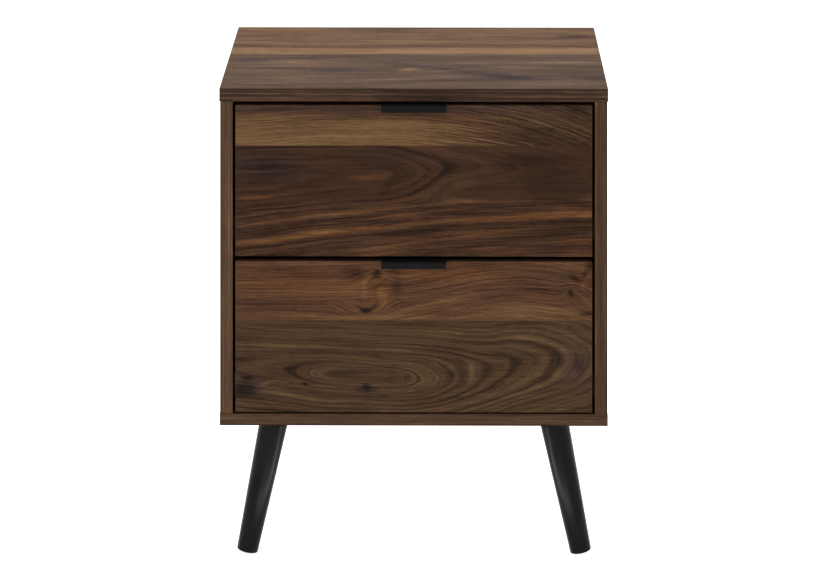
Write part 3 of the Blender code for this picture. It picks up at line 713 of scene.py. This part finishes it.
HEAD_RINGS = 10
HEAD_SIDES = 32
HEAD_TWIST = 0.7                # how much further each screw in a row is turned, in radians
DOME = 0.45                     # how far the rim lies below the middle, as a share of the height
RECESS_DEPTH = 0.5              # of the cross, as a share of the height
RECESS_HALF_WIDTH = 0.13        # as shares of the radius
RECESS_HALF_LENGTH = 0.56
PLATE_SCREW = (3.6 * MM, 1.5 * MM)      # radius and height of the head
RAIL_SCREW = (2.8 * MM, 1.0 * MM)
PLATE_SHEET = 2.5 * MM
PLATE_HOLE_INSET = 8 * MM
RAIL_FACE = 1.5 * MM            # from the drawer side to the outside of its runner
GAP = 0.3 * MM                  # between touching parts
RAIL_SCREW_RISE = 12 * MM
RAIL_SCREWS = (60 * MM, 190 * MM, 320 * MM)     # behind the face of the front


def head_height(x, y, radius, height):
    """The domed top of a pan head with a cross recess."""
    dome = height * (1 - DOME * (x * x + y * y) / radius ** 2)
    near, far = sorted((abs(x), abs(y)))
    in_cross = near < RECESS_HALF_WIDTH * radius and far < RECESS_HALF_LENGTH * radius
    return dome - RECESS_DEPTH * height if in_cross else dome


def screw_heads(name, body, material, spots, outward, size):
    """Screw heads as one piece, each standing on its spot and facing outward."""
    radius, height = size
    turn = Vector(outward).to_track_quat("Z", "Y")
    build = bmesh.new()
    for number, spot in enumerate(spots):
        twist = HEAD_TWIST * number

        def point(out, angle, up=None):
            if up is None:
                turned = angle - twist
                up = head_height(out * math.cos(turned), out * math.sin(turned), radius, height)
            x, y = out * math.cos(angle), out * math.sin(angle)
            return build.verts.new(Vector(spot) + turn @ Vector((x, y, up)))

        angles = [math.tau * step / HEAD_SIDES for step in range(HEAD_SIDES)]
        rings = [[point(radius * ring / HEAD_RINGS, angle) for angle in angles]
                 for ring in range(1, HEAD_RINGS + 1)]
        rings.append([point(radius, angle, 0.0) for angle in angles])
        middle = point(0, 0)
        for step in range(HEAD_SIDES):
            after = (step + 1) % HEAD_SIDES
            build.faces.new((middle, rings[0][step], rings[0][after]))
            for inner, outer in zip(rings, rings[1:]):
                build.faces.new((inner[step], outer[step], outer[after], inner[after]))
        build.faces.new(rings[-1][::-1])
    mesh = bpy.data.meshes.new(name)
    build.to_mesh(mesh)
    build.free()
    piece = link(bpy.data.objects.new(name, mesh))
    mesh.materials.append(material)
    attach(piece, body)


def make_screws():
    """The screws that hold the leg plates and the drawers' runners."""
    zinc = SLOT_FINISHES["zinc_steel"]
    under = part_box("bottom_panel")[0].z - GAP - PLATE_SHEET
    for side, sign in (("left", -1), ("right", 1)):
        for end in ("front", "rear"):
            low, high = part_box(f"{side}_{end}_leg_plate")
            spots = [(x, y, under) for x in (low.x + PLATE_HOLE_INSET, high.x - PLATE_HOLE_INSET)
                     for y in (low.y + PLATE_HOLE_INSET, high.y - PLATE_HOLE_INSET)]
            screw_heads(f"{side}_{end}_plate_screws", "cabinet", zinc, spots, (0, 0, -1), PLATE_SCREW)
        for level in ("upper", "lower"):
            low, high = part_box(f"{level}_drawer_{side}_side")
            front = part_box(f"{level}_drawer_front")[0].y
            face = (low.x if sign < 0 else high.x) + sign * RAIL_FACE
            spots = [(face, front + back, low.z + RAIL_SCREW_RISE) for back in RAIL_SCREWS]
            screw_heads(f"{level}_{side}_rail_screws", f"{level}_drawer", zinc, spots, (sign, 0, 0),
                        RAIL_SCREW)


# ---------------------------------------------------------------- build

make_camera()
make_lights()
make_floor()

# what a node looks like: its own finish if it has one, or else the one of its material slot
FINISHES = {
    "top_panel": top_material(),
    "upper_drawer_front": upper_front_material(),
    "lower_drawer_front": lower_front_material(),
    "bottom_panel": plain_walnut("walnut_bottom", X, Y, Z, seed=101, tone=0.42, edge=0.42, joint=20,
                                 outside=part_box("bottom_panel")[0].z / MM),
    # painted light: the left side's edge band is made lighter than the right side's, 0.51 against 0.40,
    # standing in for light from the left
    "left_side_panel": plain_walnut("walnut_left_side", Z, Y, X, seed=121, tone=0.42, edge=0.51, joint=18,
                                    outside=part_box("left_side_panel")[0].x / MM),
    "right_side_panel": plain_walnut("walnut_right_side", Z, Y, X, seed=141, tone=0.42, edge=0.40,
                                     joint=-6, outside=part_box("right_side_panel")[1].x / MM),
}
FINISHES["upper_drawer_back"] = plain_walnut("walnut_box_back", X, Z, Y, seed=171, tone=0.45, edge=0.45)
FINISHES["lower_drawer_back"] = FINISHES["upper_drawer_back"]
SLOT_FINISHES = {
    "walnut_laminate": plain_walnut("walnut_box_side", Y, Z, X, seed=161, tone=0.45, edge=0.45),
    "printed_hardboard": plain_walnut("printed_drawer_bottom", Y, X, Z, seed=181, tone=0.5),
    "raw_hardboard": hardboard_material("raw_hardboard", (100, 72, 50), (140, 106, 76), seed=3,
                                        nailed="back_panel"),
    "black_wood": painted_material("black_lacquered_wood", (9, 9, 9), (18, 18, 19), roughness=0.3,
                                   grain=12.0, speck=1.2, depth=0.03 * MM, level=0.07),
    "black_metal": painted_material("black_powder_coat", (10, 10, 10), (18, 18, 19), roughness=0.55,
                                    grain=1.0, speck=0.35, depth=0.04 * MM, level=0.06),
    "coated_steel": painted_material("coated_steel", (40, 34, 30), (54, 47, 42), roughness=0.45,
                                     grain=1.0, speck=0.5, depth=0.02 * MM, level=0.2),
    "zinc_steel": painted_material("zinc_plated_steel", (150, 152, 156), (198, 200, 204), roughness=0.36,
                                   grain=1.0, speck=0.8, depth=0.02 * MM, metallic=1.0),
    "beech": painted_material("beech", (176, 132, 88), (214, 172, 124), roughness=0.6,
                              grain=9.0, speck=0.7, depth=0.05 * MM),
    "white_nylon": painted_material("white_nylon", (214, 214, 208), (234, 234, 228), roughness=0.38,
                                    grain=1.0, speck=0.6, depth=0.01 * MM),
}

for name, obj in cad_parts.items():
    for held in obj.material_slots:
        slot_name = held.material.name.split(".")[0]
        held.material = FINISHES.get(name) or SLOT_FINISHES[slot_name]

make_screws()
